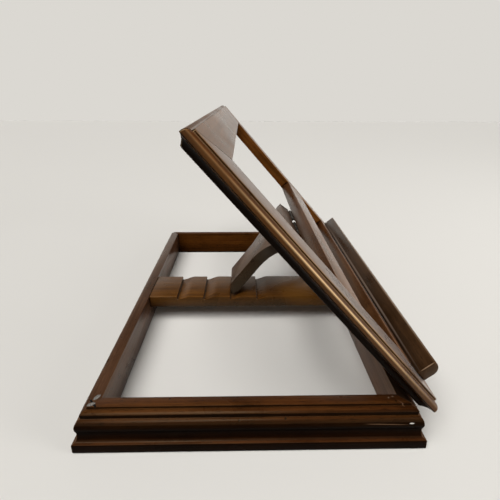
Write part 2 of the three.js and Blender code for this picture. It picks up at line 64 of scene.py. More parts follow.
def linear(code: str) -> Colour:
    """Turn an sRGB hex colour into linear RGBA.

    Args:
        code: six hex digits, with or without a leading hash.

    Returns:
        The linear colour with full alpha.
    """
    digits = code.lstrip("#")
    parts = [int(digits[i:i + 2], 16) / 255 for i in (0, 2, 4)]
    r, g, b = (p / 12.92 if p <= 0.04045 else ((p + 0.055) / 1.055) ** 2.4 for p in parts)
    return (r, g, b, 1.0)


def add_node(tree: bpy.types.NodeTree, kind: str, inputs: Optional[dict[Union[str, int], Any]] = None,
             stops: Optional[list[tuple[float, Colour]]] = None, **settings: Any) -> bpy.types.Node:
    """Add one node with its settings, socket values and links.

    Args:
        tree: the node tree to add to.
        kind: the node's type name.
        inputs: socket name or index to a constant, or to the output socket that feeds it.
        stops: colour ramp stops, where the node has a ramp.
        settings: the node's own properties.

    Returns:
        The new node.
    """
    node = tree.nodes.new(kind)
    for name, value in settings.items():
        setattr(node, name, value)
    for key, value in (inputs or {}).items():
        if isinstance(value, bpy.types.NodeSocket):
            tree.links.new(value, node.inputs[key])
        else:
            node.inputs[key].default_value = value
    if stops:
        ramp = node.color_ramp.elements
        while len(ramp) < len(stops):
            ramp.new(1.0)
        for element, (place, colour) in zip(ramp, stops):
            element.position, element.color = place, colour
    return node


def grey(level: float) -> Colour:
    """A linear grey, for ramps that carry a mask."""
    return (level, level, level, 1.0)


def new_material(name: str) -> tuple[bpy.types.Material, bpy.types.NodeTree]:
    """Make an empty node material.

    Args:
        name: the real material's name.

    Returns:
        The material and its cleared node tree.
    """
    material = bpy.data.materials.new(name)
    material.use_nodes = True
    material.node_tree.nodes.clear()
    return material, material.node_tree


class Grain(Enum):
    """Which way a member's long grain runs."""

    ACROSS = "across"
    FORE_AFT = "fore_aft"
    DESK_SLOPE = "desk_slope"
    PROP_SLOPE = "prop_slope"

    @property
    def turn(self) -> Euler:
        """The turn that lays a pattern's X along the grain."""
        lean = {Grain.DESK_SLOPE: DESK_TILT, Grain.PROP_SLOPE: -PROP_SLOPE}.get(self, 0.0)
        quarter = 0.0 if self is Grain.ACROSS else math.pi / 2
        return (Matrix.Rotation(lean, 3, "X") @ Matrix.Rotation(quarter, 3, "Z")).to_euler("XYZ")


@dataclass(frozen=True)
class Mark:
    """A small stain, fleck or bruise at one place on a member, or a painted shadow, glint or highlight."""

    place: Triple
    reach: Triple
    colour: str
    along: Triple = (1.0, 0.0, 0.0)
    strength: float = 0.9
    core: float = 0.75


@dataclass(frozen=True)
class Mahogany:
    """Old French-polished mahogany: deep red-brown, straight open grain, rubbed arrises, painted light and
    shade.
    """

    name: str
    grain: Grain
    dark: str = "#3d200c"
    mid: str = "#502e14"
    light: str = "#623d1d"
    # The rubbed arrises' colour, and the painted highlight's colour along the nose.
    worn: str = "#8a5c34"
    # The dark of wax in the pores and knocks, and of the painted shade in the quirks.
    wax_and_shade: str = "#0c0502"
    tint: str = "#ffd9ac"
    shift: float = 0.0
    wear: float = 0.55
    # How strong the painted highlight along the nose is, and the height in metres where it is brightest.
    nose: float = 0.0
    highlight_height: float = 0.17
    # Factors of painted light and shade on faces that look up and on faces that look sideways.
    shoulder_painted_light: float = 1.45
    upright_painted_light: float = 0.24
    # How far, in millimetres, the painted shade reaches into a hollow.
    crease_shade_reach: float = 2.2
    gloss: float = 0.3
    specular: float = 0.3
    sheen: float = 0.0
    # Which way is up for the painted light and shade.
    face: Triple = (0.0, 0.0, 1.0)
    marks: tuple[Mark, ...] = ()

    # Sizes in millimetres: along the grain, across it, and into the wood.
    FIGURE = (420.0, 15.0, 15.0)
    STREAK = (110.0, 2.4, 2.4)
    PORE = (9.0, 1.0, 1.0)  # vessels are finer than this: drawn as coarse as they need to show
    PATINA = (70.0, 55.0, 55.0)
    DENT = (16.0, 16.0, 16.0)
    ARRIS = 1.3  # how far round an edge hands rub it
    RELIEF = 0.25  # how deep the open grain and the knocks are
    # Metres from the middle of the painted highlight: full up to the first, faint beyond the second.
    HIGHLIGHT_REACH = (0.03, 0.11)
    HIGHLIGHT_TAIL = 0.12
    SMOOTHER, ROUGHER = 0.08, 0.14  # how far the patina moves the gloss
    RUBBED_ROUGH = 0.12  # what rubbing adds to the roughness
    SAMPLES = 6

    def material(self) -> bpy.types.Material:
        """Build the polish over its grain.

        Returns:
            The finished material.
        """
        material, tree = new_material(self.name)
        place = add_node(tree, "ShaderNodeTexCoord").outputs["Object"]

        def pattern(size: Triple, detail: float, warp: float) -> bpy.types.NodeSocket:
            """Noise stretched along the grain.

            Args:
                size: the pattern's size in millimetres.
                detail: octaves of finer noise.
                warp: how far the noise wanders.

            Returns:
                The noise's value socket.
            """
            laid = add_node(tree, "ShaderNodeMapping", {
                "Vector": place, "Location": (self.shift, self.shift * 0.7, self.shift * 0.3),
                "Rotation": self.grain.turn, "Scale": tuple(MM * s for s in size)}, vector_type="TEXTURE")
            return add_node(tree, "ShaderNodeTexNoise", {
                "Vector": laid.outputs[0], "Scale": 1.0, "Detail": detail, "Roughness": 0.58,
                "Distortion": warp}).outputs["Fac"]

        figure = pattern(self.FIGURE, 3.0, 0.5)
        streak = pattern(self.STREAK, 5.0, 0.2)
        pore = pattern(self.PORE, 2.0, 0.0)
        patina = pattern(self.PATINA, 4.0, 0.3)
        both = add_node(tree, "ShaderNodeMix", {0: 0.5, 2: figure, 3: streak}, data_type="FLOAT").outputs[0]
        wood = add_node(tree, "ShaderNodeValToRGB", {"Fac": both}, stops=[
            (0.34, linear(self.dark)), (0.5, linear(self.mid)), (0.66, linear(self.light))]).outputs[0]
        shade = add_node(tree, "ShaderNodeValToRGB", {"Fac": patina}, stops=[
            (0.3, grey(0.62)), (0.55, grey(1.0)), (0.75, grey(1.18))]).outputs[0]
        wood = add_node(tree, "ShaderNodeMix", {0: 1.0, 6: wood, 7: shade},
                        data_type="RGBA", blend_type="MULTIPLY").outputs[2]
        vessel = add_node(tree, "ShaderNodeValToRGB", {"Fac": pore}, stops=[
            (0.56, grey(0.0)), (0.68, grey(0.55))]).outputs[0]
        wood = add_node(tree, "ShaderNodeMix", {0: vessel, 6: wood, 7: linear(self.wax_and_shade)},
                        data_type="RGBA").outputs[2]
        # Light and shade painted by facing, a painted highlight on the nose, and painted shade in the
        # hollows.
        wood = self.paint_light_by_facing(tree, wood, patina)
        wood = self.paint_crease_shade(tree, wood)
        rubbed_and_highlight = self.arrises(tree, patina)
        wood = add_node(tree, "ShaderNodeMix", {0: rubbed_and_highlight, 6: wood, 7: linear(self.worn)},
                        data_type="RGBA").outputs[2]
        bruise = self.bruises(tree, place)
        wood = add_node(tree, "ShaderNodeMix", {0: bruise, 6: wood, 7: linear(self.wax_and_shade)},
                        data_type="RGBA").outputs[2]
        for mark in self.marks:
            wood = self.lay_mark(tree, place, mark, wood)
        rough = add_node(tree, "ShaderNodeMapRange", {
            "Value": patina, "From Min": 0.3, "From Max": 0.75,
            "To Min": self.gloss - self.SMOOTHER, "To Max": self.gloss + self.ROUGHER}).outputs[0]
        rough = add_node(tree, "ShaderNodeMath", {0: rubbed_and_highlight, 1: self.RUBBED_ROUGH, 2: rough},
                         operation="MULTIPLY_ADD").outputs[0]
        relief = add_node(tree, "ShaderNodeMath", {0: vessel, 1: -0.6, 2: streak},
                          operation="MULTIPLY_ADD").outputs[0]
        relief = add_node(tree, "ShaderNodeMath", {0: bruise, 1: -2.0, 2: relief},
                          operation="MULTIPLY_ADD").outputs[0]
        bump = add_node(tree, "ShaderNodeBump", {
            "Height": relief, "Strength": 0.35, "Distance": self.RELIEF * MM}).outputs[0]
        shader = add_node(tree, "ShaderNodeBsdfPrincipled", {
            "Base Color": wood, "Roughness": rough, "Normal": bump, "IOR": 1.5,
            "Specular IOR Level": self.specular, "Specular Tint": linear(self.tint),
            "Sheen Weight": self.sheen, "Sheen Roughness": 0.4})
        add_node(tree, "ShaderNodeOutputMaterial", {"Surface": shader.outputs[0]})
        return material

    def paint_light_by_facing(self, tree: bpy.types.NodeTree, wood: bpy.types.NodeSocket,
               patina: bpy.types.NodeSocket) -> bpy.types.NodeSocket:
        """Paint light on the shoulders and shade on the uprights by which way each face looks, and a painted
        highlight along the nose.

        Args:
            tree: the material's nodes.
            wood: the colour so far.
            patina: the blotchy noise that breaks the wear up.

        Returns:
            The colour with painted light and shade.
        """
        normal = add_node(tree, "ShaderNodeTexCoord").outputs["Normal"]
        lift = add_node(tree, "ShaderNodeVectorMath", {0: normal, 1: self.face},
                        operation="DOT_PRODUCT").outputs["Value"]
        under = add_node(tree, "ShaderNodeMapRange", {"Value": lift, "From Min": -1.0}).outputs[0]
        shade = add_node(tree, "ShaderNodeValToRGB", {"Fac": under}, stops=[
            (0.03, grey(0.75)), (0.08, grey(0.35 * self.upright_painted_light)),
            (0.4, grey(0.35 * self.upright_painted_light)), (0.52, grey(self.upright_painted_light)),
            (0.65, grey(0.3 * self.shoulder_painted_light + 0.4 * self.upright_painted_light)),
            (0.81, grey(self.shoulder_painted_light)), (0.93, grey(0.62 * self.shoulder_painted_light + 0.3)),
            (0.985, grey(1.0))]).outputs[0]
        wood = add_node(tree, "ShaderNodeMix", {0: 1.0, 6: wood, 7: shade},
                        data_type="RGBA", blend_type="MULTIPLY").outputs[2]
        # A painted highlight along the nose's crest, broken up by the patina, brightest at one height.
        crest = add_node(tree, "ShaderNodeValToRGB", {"Fac": lift}, stops=[
            (0.25, grey(0.0)), (0.46, grey(0.62)), (0.58, grey(1.0)), (0.7, grey(0.8)),
            (0.88, grey(0.0))]).outputs[0]
        broken = add_node(tree, "ShaderNodeMapRange", {
            "Value": patina, "From Min": 0.25, "From Max": 0.5, "To Min": 0.6 * self.nose,
            "To Max": self.nose}).outputs[0]
        place = add_node(tree, "ShaderNodeTexCoord").outputs["Object"]
        height = add_node(tree, "ShaderNodeSeparateXYZ", {0: place}).outputs["Z"]
        away = add_node(tree, "ShaderNodeMath", {0: height, 1: self.highlight_height}, operation="SUBTRACT").outputs[0]
        away = add_node(tree, "ShaderNodeMath", {0: away}, operation="ABSOLUTE").outputs[0]
        highlight_fade = add_node(tree, "ShaderNodeMapRange", {
            "Value": away, "From Min": self.HIGHLIGHT_REACH[0], "From Max": self.HIGHLIGHT_REACH[1],
            "To Min": 1.0, "To Max": self.HIGHLIGHT_TAIL}).outputs[0]
        rubbed_and_highlight = add_node(tree, "ShaderNodeMath", {0: crest, 1: broken}, operation="MULTIPLY").outputs[0]
        rubbed_and_highlight = add_node(tree, "ShaderNodeMath", {0: rubbed_and_highlight, 1: highlight_fade}, operation="MULTIPLY").outputs[0]
        return add_node(tree, "ShaderNodeMix", {0: rubbed_and_highlight, 6: wood, 7: linear(self.worn)},
                        data_type="RGBA").outputs[2]

    def paint_crease_shade(self, tree: bpy.types.NodeTree, wood: bpy.types.NodeSocket) -> bpy.types.NodeSocket:
        """Darken the quirks and other hollows with painted shade, the more closed in the darker.

        Args:
            tree: the material's nodes.
            wood: the colour so far.

        Returns:
            The darkened colour.
        """
        open_sky = add_node(tree, "ShaderNodeAmbientOcclusion", {"Distance": self.crease_shade_reach * MM},
                            samples=self.SAMPLES).outputs["AO"]
        crease_shade_mask = add_node(tree, "ShaderNodeMapRange", {
            "Value": open_sky, "From Min": 0.5, "From Max": 0.86, "To Min": 0.95, "To Max": 0.0}).outputs[0]
        return add_node(tree, "ShaderNodeMix", {0: crease_shade_mask, 6: wood, 7: linear(self.wax_and_shade)},
                        data_type="RGBA").outputs[2]

    def arrises(self, tree: bpy.types.NodeTree, patina: bpy.types.NodeSocket) -> bpy.types.NodeSocket:
        """Find the edges that hands have rubbed pale.

        Args:
            tree: the material's nodes.
            patina: the blotchy noise that breaks the wear up.

        Returns:
            A mask of the rubbed edges.
        """
        eased = add_node(tree, "ShaderNodeBevel", {"Radius": self.ARRIS * MM},
                         samples=self.SAMPLES).outputs[0]
        true = add_node(tree, "ShaderNodeNewGeometry").outputs["Normal"]
        facing = add_node(tree, "ShaderNodeVectorMath", {0: eased, 1: true},
                          operation="DOT_PRODUCT").outputs["Value"]
        edge = add_node(tree, "ShaderNodeMapRange", {
            "Value": facing, "From Min": 0.985, "From Max": 0.86,
            "To Min": 0.0, "To Max": self.wear}).outputs[0]
        patchy = add_node(tree, "ShaderNodeMapRange", {
            "Value": patina, "From Min": 0.35, "From Max": 0.62}).outputs[0]
        return add_node(tree, "ShaderNodeMath", {0: edge, 1: patchy}, operation="MULTIPLY").outputs[0]

    def bruises(self, tree: bpy.types.NodeTree, place: bpy.types.NodeSocket) -> bpy.types.NodeSocket:
        """Scatter small knocks over the polish.

        Args:
            tree: the material's nodes.
            place: object coordinates.

        Returns:
            A mask of the knocks.
        """
        laid = add_node(tree, "ShaderNodeMapping", {
            "Vector": place, "Location": (self.shift, 0.0, 0.0), "Rotation": self.grain.turn,
            "Scale": tuple(MM * s for s in self.DENT)}, vector_type="TEXTURE").outputs[0]
        near = add_node(tree, "ShaderNodeTexVoronoi", {"Vector": laid, "Scale": 1.0}).outputs["Distance"]
        return add_node(tree, "ShaderNodeMapRange", {
            "Value": near, "From Min": 0.05, "From Max": 0.085, "To Min": 0.85, "To Max": 0.0}).outputs[0]

    @staticmethod
    def lay_mark(tree: bpy.types.NodeTree, place: bpy.types.NodeSocket, mark: Mark,
              wood: bpy.types.NodeSocket) -> bpy.types.NodeSocket:
        """Lay one mark over the colour.

        Args:
            tree: the material's nodes.
            place: object coordinates.
            mark: the mark to lay.
            wood: the colour so far.

        Returns:
            The marked colour.
        """
        laid = add_node(tree, "ShaderNodeMapping", {
            "Vector": place, "Location": tuple(MM * v for v in mark.place),
            "Rotation": Vector(mark.along).to_track_quat("X", "Z").to_euler(),
            "Scale": tuple(MM * v for v in mark.reach)}, vector_type="TEXTURE").outputs[0]
        away = add_node(tree, "ShaderNodeVectorMath", {0: laid}, operation="LENGTH").outputs["Value"]
        mask = add_node(tree, "ShaderNodeMapRange", {
            "Value": away, "From Min": mark.core, "From Max": 1.1,
            "To Min": mark.strength, "To Max": 0.0}).outputs[0]
        return add_node(tree, "ShaderNodeMix", {0: mask, 6: wood, 7: linear(mark.colour)},
                        data_type="RGBA").outputs[2]


@dataclass(frozen=True)
class AgedMetal:
    """Old plain hardware: worn bright where it is touched, dull and spotted elsewhere."""

    name: str
    bright: str
    dull: str
    spot: str
    roughness: float = 0.42
    cloud: float = 6.0
    speck: float = 1.1
    scratch: tuple[float, float] = (9.0, 0.35)

    def material(self) -> bpy.types.Material:
        """Build the tarnished metal.

        Returns:
            The finished material.
        """
        material, tree = new_material(self.name)
        place = add_node(tree, "ShaderNodeTexCoord").outputs["Object"]

        def noise(size: Triple, detail: float) -> bpy.types.NodeSocket:
            """Noise at a size in millimetres.

            Args:
                size: the pattern's size along X, Y and Z.
                detail: octaves of finer noise.

            Returns:
                The noise's value socket.
            """
            laid = add_node(tree, "ShaderNodeMapping", {
                "Vector": place, "Scale": tuple(MM * s for s in size)}, vector_type="TEXTURE").outputs[0]
            return add_node(tree, "ShaderNodeTexNoise", {
                "Vector": laid, "Scale": 1.0, "Detail": detail}).outputs["Fac"]

        cloud = noise((self.cloud,) * 3, 4.0)
        speck = noise((self.speck,) * 3, 2.0)
        scratch = noise((self.scratch[0], self.scratch[1], self.scratch[1]), 1.0)
        metal = add_node(tree, "ShaderNodeValToRGB", {"Fac": cloud}, stops=[
            (0.38, linear(self.dull)), (0.62, linear(self.bright))]).outputs[0]
        pitted = add_node(tree, "ShaderNodeMapRange", {
            "Value": speck, "From Min": 0.6, "From Max": 0.7, "To Min": 0.0, "To Max": 0.8}).outputs[0]
        metal = add_node(tree, "ShaderNodeMix", {0: pitted, 6: metal, 7: linear(self.spot)},
                         data_type="RGBA").outputs[2]
        rough = add_node(tree, "ShaderNodeMapRange", {
            "Value": cloud, "From Min": 0.3, "From Max": 0.7,
            "To Min": self.roughness + 0.15, "To Max": self.roughness - 0.08}).outputs[0]
        bump = add_node(tree, "ShaderNodeBump", {
            "Height": scratch, "Strength": 0.2, "Distance": 0.1 * MM}).outputs[0]
        shader = add_node(tree, "ShaderNodeBsdfPrincipled", {
            "Base Color": metal, "Metallic": 1.0, "Roughness": rough, "Normal": bump})
        add_node(tree, "ShaderNodeOutputMaterial", {"Surface": shader.outputs[0]})
        return material


@dataclass(frozen=True)
class Filler:
    """Hardened grey stopping, matt and gritty, with a chalky edge."""

    name: str
    pale: str = "#8d8880"
    dark: str = "#55504a"
    grit: float = 0.8

    def material(self) -> bpy.types.Material:
        """Build the stopping.

        Returns:
            The finished material.
        """
        material, tree = new_material(self.name)
        place = add_node(tree, "ShaderNodeTexCoord").outputs["Object"]
        laid = add_node(tree, "ShaderNodeMapping", {
            "Vector": place, "Scale": (self.grit * MM,) * 3}, vector_type="TEXTURE").outputs[0]
        grit = add_node(tree, "ShaderNodeTexNoise", {
            "Vector": laid, "Scale": 1.0, "Detail": 3.0}).outputs["Fac"]
        colour = add_node(tree, "ShaderNodeValToRGB", {"Fac": grit}, stops=[
            (0.4, linear(self.dark)), (0.6, linear(self.pale))]).outputs[0]
        bump = add_node(tree, "ShaderNodeBump", {
            "Height": grit, "Strength": 0.5, "Distance": 0.2 * MM}).outputs[0]
        shader = add_node(tree, "ShaderNodeBsdfPrincipled", {
            "Base Color": colour, "Roughness": 0.82, "Normal": bump})
        add_node(tree, "ShaderNodeOutputMaterial", {"Surface": shader.outputs[0]})
        return material


Finish = Union[Mahogany, AgedMetal, Filler]


class Shop:
    """Keeps each finish's material once it has been mixed."""

    def __init__(self) -> None:
        """Start with nothing mixed."""
        self.mixed: dict[str, bpy.types.Material] = {}

    def mix(self, finish: Finish) -> bpy.types.Material:
        """Mix a finish the first time that it is asked for.

        Args:
            finish: the finish to mix.

        Returns:
            Its material.
        """
        if finish.name not in self.mixed:
            self.mixed[finish.name] = finish.material()
        return self.mixed[finish.name]

    def dress(self, piece: bpy.types.Object, finish: Finish) -> None:
        """Put a finish on a piece, in place of whatever it wears.

        Args:
            piece: the object to dress.
            finish: the finish to put on.
        """
        material = self.mix(finish)
        piece.data.materials.clear()
        piece.data.materials.append(material)

    def dress_faces(self, piece: bpy.types.Object, finish: Mahogany,
                    test: Callable[[bpy.types.MeshPolygon], bool]) -> None:
        """Put another finish on some of a piece's faces.

        Args:
            piece: the object, which is dressed already.
            finish: the finish to put on.
            test: says whether a face takes it.
        """
        piece.data.materials.append(self.mix(finish))
        last = len(piece.data.materials) - 1
        for face in piece.data.polygons:
            if test(face):
                face.material_index = last


def select_only(piece: bpy.types.Object) -> None:
    """Make one object the only selected and active one."""
    bpy.ops.object.select_all(action="DESELECT")
    piece.select_set(True)
    bpy.context.view_layer.objects.active = piece


def pick_faces(piece: bpy.types.Object, test: Callable[[bpy.types.MeshPolygon], bool]) -> None:
    """Select a mesh's faces by a test, from edit mode and back into it.

    Args:
        piece: the object in edit mode.
        test: says whether a face is picked.
    """
    bpy.ops.mesh.select_all(action="DESELECT")
    bpy.ops.object.mode_set(mode="OBJECT")
    for face in piece.data.polygons:
        face.select = test(face)
    bpy.ops.object.mode_set(mode="EDIT")


def solid_copy(name: str, node: str) -> bpy.types.Object:
    """Copy a CAD node as one merged mesh with whole flat faces.

    Args:
        name: the copy's name.
        node: the CAD node's name.

    Returns:
        The copy, selected and active in object mode.
    """
    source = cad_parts[node]
    piece = bpy.data.objects.new(name, source.data.copy())
    piece.data.name = name
    bpy.context.scene.collection.objects.link(piece)
    select_only(piece)
    bpy.ops.object.mode_set(mode="EDIT")
    bpy.ops.mesh.select_mode(type="FACE")
    bpy.ops.mesh.select_all(action="SELECT")
    bpy.ops.mesh.remove_doubles(threshold=MERGE * MM)
    bpy.ops.mesh.dissolve_limited(angle_limit=FLAT)
    bpy.ops.object.mode_set(mode="OBJECT")
    return piece


def ease_edges(piece: bpy.types.Object, width: float, segments: int = 2, angle: float = 32.0) -> None:
    """Round a piece's arrises and smooth what curves.

    Args:
        piece: the object to ease.
        width: the rounding's width in millimetres.
        segments: steps in the rounding.
        angle: edges sharper than this many degrees are rounded.
    """
    select_only(piece)
    bevel = piece.modifiers.new("eased", "BEVEL")
    bevel.width, bevel.segments = width * MM, segments
    bevel.limit_method, bevel.angle_limit = "ANGLE", math.radians(angle)
    bpy.ops.object.modifier_apply(modifier=bevel.name)
    bpy.ops.object.shade_smooth_by_angle(angle=math.radians(angle))


@dataclass
class SubAssembly:
    """One rigid body of the stand, with the pieces that ride on it."""

    shop: Shop
    body: str = ""
    slot: str = ""
    sides: tuple[str, ...] = ("left", "right")

    # For a screw's head: how square to the head a face lies, how far from its middle the head's and
    # the slot's faces are looked for, and the slot's rim, in millimetres.
    SQUARE_ON = 0.99
    HEAD_REACH = 2.5
    SLOT_REACH = 0.2
    SLOT_RIM = 0.02
    HEAD_SMOOTH = math.radians(40)

    def seat(self, piece: bpy.types.Object, node: Optional[str], slot: str) -> None:
        """Carry a piece on this body, and let it stand for a node.

        Args:
            piece: the new piece.
            node: the CAD node that it replaces, if any.
            slot: the record's material slot; not used.
        """
        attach(piece, self.body)
        if node:
            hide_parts(node)
        LOG.info("%s rides on %s", piece.name, self.body)

    def worn(self, node: str, finish: Finish, slot: str, ease: float) -> bpy.types.Object:
        """Make a copy of a node with its edges eased, and let it stand for the node.

        Args:
            node: the CAD node that it stands for.
            finish: its finish.
            slot: the record's material slot.
            ease: how far its edges are eased, in millimetres.

        Returns:
            The finished piece.
        """
        piece = solid_copy(f"worn_{node}", node)
        ease_edges(piece, ease)
        self.shop.dress(piece, finish)
        self.seat(piece, node, slot)
        return piece

    def member(self, node: str, finish: Mahogany, ease: float = 0.7) -> bpy.types.Object:
        """Make a wooden member with eased arrises.

        Args:
            node: the CAD node that it stands for.
            finish: its polish.
            ease: how far the arrises are rubbed, in millimetres.

        Returns:
            The finished piece.
        """
        return self.worn(node, finish, self.slot, ease)

    def plate(self, node: str, finish: AgedMetal, slot: str, ease: float = 0.25) -> bpy.types.Object:
        """Make a metal plate, leaf or pin with its burr taken off.

        Args:
            node: the CAD node that it stands for.
            finish: its metal.
            slot: the record's material slot.
            ease: how far its edges are eased, in millimetres.

        Returns:
            The finished piece.
        """
        return self.worn(node, finish, slot, ease)

    def screw(self, node: str, finish: AgedMetal, turn: float, slot: float = 0.7,
              deep: float = 0.7) -> bpy.types.Object:
        """Make a countersunk screw with a slot across its head.

        Args:
            node: the CAD node that it stands for.
            finish: its metal.
            turn: how far its slot is turned, in radians.
            slot: the slot's width in millimetres.
            deep: the slot's depth in millimetres.

        Returns:
            The finished piece.
        """
        piece = solid_copy(f"slotted_{node}", node)
        head = max(piece.data.polygons, key=lambda face: (len(face.vertices), face.area))
        centre, axis = head.center.copy(), head.normal.copy()
        across = (Matrix.Rotation(turn, 3, axis) @ axis.orthogonal()).normalized()
        bpy.ops.object.mode_set(mode="EDIT")
        for side in (-1, 1):
            pick_faces(piece, lambda face: (face.center - centre).length < self.HEAD_REACH * MM
                       and face.normal.dot(axis) > self.SQUARE_ON)
            bpy.ops.mesh.bisect(plane_co=centre + across * side * slot / 2 * MM, plane_no=across)
        pick_faces(piece, lambda face: (face.center - centre).length < self.SLOT_REACH * MM
                   and face.normal.dot(axis) > self.SQUARE_ON)
        bpy.ops.mesh.inset(thickness=self.SLOT_RIM * MM, depth=-deep * MM)
        bpy.ops.object.mode_set(mode="OBJECT")
        bpy.ops.object.shade_smooth_by_angle(angle=self.HEAD_SMOOTH)
        self.shop.dress(piece, finish)
        self.seat(piece, node, "screw_steel")
        return piece


# Yellow-brown and cloudy, brighter in patches: a dull glint at the hinges under the desk.
BRASS = AgedMetal("aged_rolled_brass", bright="#9a7a3f", dull="#5a4524", spot="#2f2415")
# Nearly black, with a little rust: the small hinges stay a dark glimpse against the wood.
IRON = AgedMetal("blackened_iron", bright="#5b544c", dull="#2e2925", spot="#4a2d1c", roughness=0.5)
# Mid grey with brown specks: pale round heads with a dark slot.
STEEL = AgedMetal("old_screw_steel", bright="#8d867c", dull="#544d45", spot="#3a2a1d")
# Blue-black and matt: a thin dark line across the mitre.
STRIP = AgedMetal("blued_steel_strip", bright="#2c2927", dull="#171514", spot="#2e1d14", roughness=0.55)
# Chalky grey without gloss: two pale smears beside that line.
STOPPING = Filler("grey_wood_stopping")


@dataclass
class BaseFrame(SubAssembly):
    """The moulded base with its ratchet bar."""

    body: str = "base"
    slot: str = "base_mahogany"
    smear_steps: int = 24
    smear_ease: float = 0.08
    smear_size: float = 0.9
    smear_ragged: float = 0.13
    smears: tuple[tuple[Triple, Triple, float], ...] = (
        ((-217.0, 161.0, 44.4), (4.2, 2.4, 0.12), -0.67), ((-225.6, 163.6, 44.4), (4.4, 2.2, 0.12), -1.17))

    @staticmethod
    def knocks_and_glint() -> tuple[Mark, ...]:
        """List the knocks and pale flecks on the left rail, near the front corner, and a painted glint along
        the moulding.
        """
        middle = BASE_MIDDLE / MM
        return (
            Mark((-221.5, middle - 140.2, 44.4), (1.0, 0.8, 1.0), "#a58d78", strength=0.7),
            Mark((-220.3, middle - 144.7, 44.4), (0.7, 1.1, 1.0), "#a58d78", strength=0.7),
            Mark((-228.2, middle - 151.3, 43.4), (5.2, 0.5, 2.0), "#7d5f49", (0.77, 0.64, 0.0), 0.7),
            Mark((-238.8, middle - 158.5, 29.7), (2.4, 1.2, 0.7), "#efe9df", (0.0, 1.0, 0.0), 0.95),
            # A painted glint along the moulding's arris.
            Mark((-238.9, middle - 134.0, 29.1), (22.0, 1.2, 0.5), "#8a6a50", (0.0, 1.0, 0.03), 0.5))

    @staticmethod
    def painted_hinge_shadow() -> tuple[Mark, ...]:
        """List the painted shadow under the desk, beside its hinges."""
        return tuple(Mark((side * 205.0, -150.0, 44.4), (30.0, 10.0, 4.0), "#0a0503", strength=0.85)
                     for side in (-1, 1))

    @staticmethod
    def faces_up(face: bpy.types.MeshPolygon) -> bool:
        """Tell the shoulders, which catch the light, from the uprights."""
        return face.normal.z > 0.4

    def build(self) -> None:
        """Make every piece of the base."""
        # Greyer and more glossy, so that the front and rear rails pick up the room, with painted shadow
        # beside the hinges.
        across = Mahogany("base_mahogany_across", Grain.ACROSS, shift=0.31, dark="#3a2214", mid="#4b3121",
                          light="#5c402e", specular=0.5, marks=self.painted_hinge_shadow())
        # Red-brown on top, with painted light on the soft shoulders and painted shade that leaves the
        # uprights nearly black.
        fore_aft = Mahogany("base_mahogany_fore_aft", Grain.FORE_AFT, shift=0.17, specular=0.02,
                            dark="#391c0a", mid="#4c2a11", light="#5e3a1a",
                            shoulder_painted_light=0.4, upright_painted_light=0.12, crease_shade_reach=4.4, wear=0.3,
                            marks=self.knocks_and_glint())
        # Warmer and lighter than the frame, with a painted pool of amber light towards the front.
        bar = Mahogany("ratchet_bar_mahogany", Grain.FORE_AFT, shift=0.57, dark="#43260c", mid="#573511",
                       light="#70461a", upright_painted_light=0.5, crease_shade_reach=4.0, specular=0.4, marks=(
                           Mark((0.0, -92.0, 40.0), (48.0, 56.0, 24.0), "#a06a26", strength=0.75, core=0.1),))
        # Inside, the flat faces are lighter than the mouldings, with their uprights painted lighter.
        across_in = replace(across, name="base_mahogany_across_inside", upright_painted_light=1.6, marks=())
        fore_aft_in = replace(fore_aft, name="base_mahogany_fore_aft_inside", upright_painted_light=0.75,
                              dark="#46240b", mid="#59310f", light="#6c4218", marks=())
        shoulder = replace(fore_aft, name="base_mahogany_shoulder", specular=0.14)
        for nodes, finish, inside in ((("base_front_rail", "base_rear_rail"), across, across_in),
                                      (("base_left_rail", "base_right_rail"), fore_aft, fore_aft_in)):
            for node in nodes:
                piece = self.member(node, finish)
                self.shop.dress_faces(piece, inside, self.faces_in)
                if finish is fore_aft:
                    self.shop.dress_faces(piece, shoulder, self.faces_up)
        self.member("ratchet_bar", bar)
        self.plate("mitre_fastener", STRIP, "fastener_steel", ease=0.1)
        for count, smear in enumerate(self.smears, 1):
            self.smear(f"corner_stopping_{count}", *smear)
        for side in self.sides:
            self.plate(f"{side}_hinge_base_leaf", BRASS, "desk_hinge_brass")
            self.plate(f"{side}_hinge_pin", BRASS, "desk_hinge_brass", ease=0.15)
            for count in SCREWS:
                self.screw(f"{side}_hinge_base_screw_{count}", STEEL, turn=0.7 * count)

    @staticmethod
    def faces_in(face: bpy.types.MeshPolygon) -> bool:
        """Tell the rails' inner sides from their mouldings."""
        middle = Vector((0.0, BASE_MIDDLE, face.center.z))
        return abs(face.normal.z) < 0.5 and face.normal.dot((middle - face.center).normalized()) > 0.2

    def smear(self, name: str, place: Triple, reach: Triple, turn: float) -> bpy.types.Object:
        """Make one smear of stopping beside the corner's steel strip.

        Args:
            name: the piece's name.
            place: its middle, in millimetres.
            reach: its half length, half width and height, in millimetres.
            turn: how far its length is turned from X, in radians.

        Returns:
            The finished piece.
        """
        bpy.ops.object.select_all(action="DESELECT")
        bpy.ops.mesh.primitive_circle_add(vertices=self.smear_steps, radius=1.0, fill_type="NGON",
                                          location=tuple(MM * v for v in place))
        piece = bpy.context.object
        piece.name = piece.data.name = name
        piece.scale, piece.rotation_euler = (reach[0] * MM, reach[1] * MM, 1.0), (0.0, 0.0, turn)
        bpy.ops.object.transform_apply(location=True, rotation=True, scale=True)
        middle = Vector(place) * MM
        for i, vertex in enumerate(piece.data.vertices):
            ragged = self.smear_ragged * math.sin(2.3 * i) * math.cos(1.1 * i)
            vertex.co = middle + (vertex.co - middle) * (self.smear_size + ragged)
        bpy.ops.object.mode_set(mode="EDIT")
        bpy.ops.mesh.select_all(action="SELECT")
        bpy.ops.mesh.extrude_region_move(TRANSFORM_OT_translate={"value": (0, 0, reach[2] * MM)})
        bpy.ops.object.mode_set(mode="OBJECT")
        ease_edges(piece, self.smear_ease)
        self.shop.dress(piece, STOPPING)
        self.seat(piece, None, "fastener_steel")
        return piece


